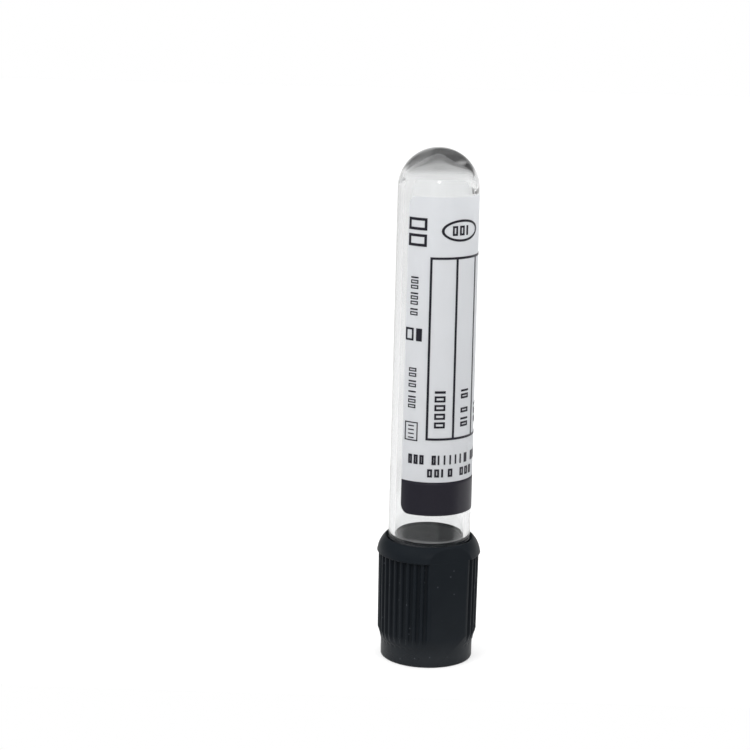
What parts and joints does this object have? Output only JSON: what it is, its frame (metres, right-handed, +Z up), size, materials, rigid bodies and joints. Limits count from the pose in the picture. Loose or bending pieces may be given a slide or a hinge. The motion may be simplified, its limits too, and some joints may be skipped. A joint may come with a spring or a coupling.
{
  "type": "blood collection tube",
  "caption": "Clear round-ended tube with a wrap-around label, a ribbed black cap and rubber stopper, standing upside down on its cap.",
  "frame": {"origin": "centre of the cap's end face, on the surface that the tube stands on", "axes": "+Z up the tube's axis to its round end, -Y the front with the label's left edge and first table columns"},
  "size_m": [0.0164, 0.0164, 0.0817],
  "materials": {
    "clear_pet": "clear glossy moulded PET",
    "stopper_rubber": "satin",
    "cap_plastic": "semi-gloss moulded",
    "citrate_solution": "clear liquid",
    "label_film": "satin film",
    "black_ink": "satin print"
  },
  "bodies": {
    "closure": {"cap": "cap_plastic", "stopper": "stopper_rubber", "solution": "citrate_solution"},
    "tube": {"tube": "clear_pet", "label": "label_film", "label_band": "black_ink", "label_table": "black_ink", "label_oval": "black_ink", "label_marks": "black_ink"}
  },
  "joints": [
    {"name": "tube_pull", "type": "slide", "parent": "closure", "child": "tube", "axis": [0, 0, 1], "range_m": [0, 0.02]}
  ]
}
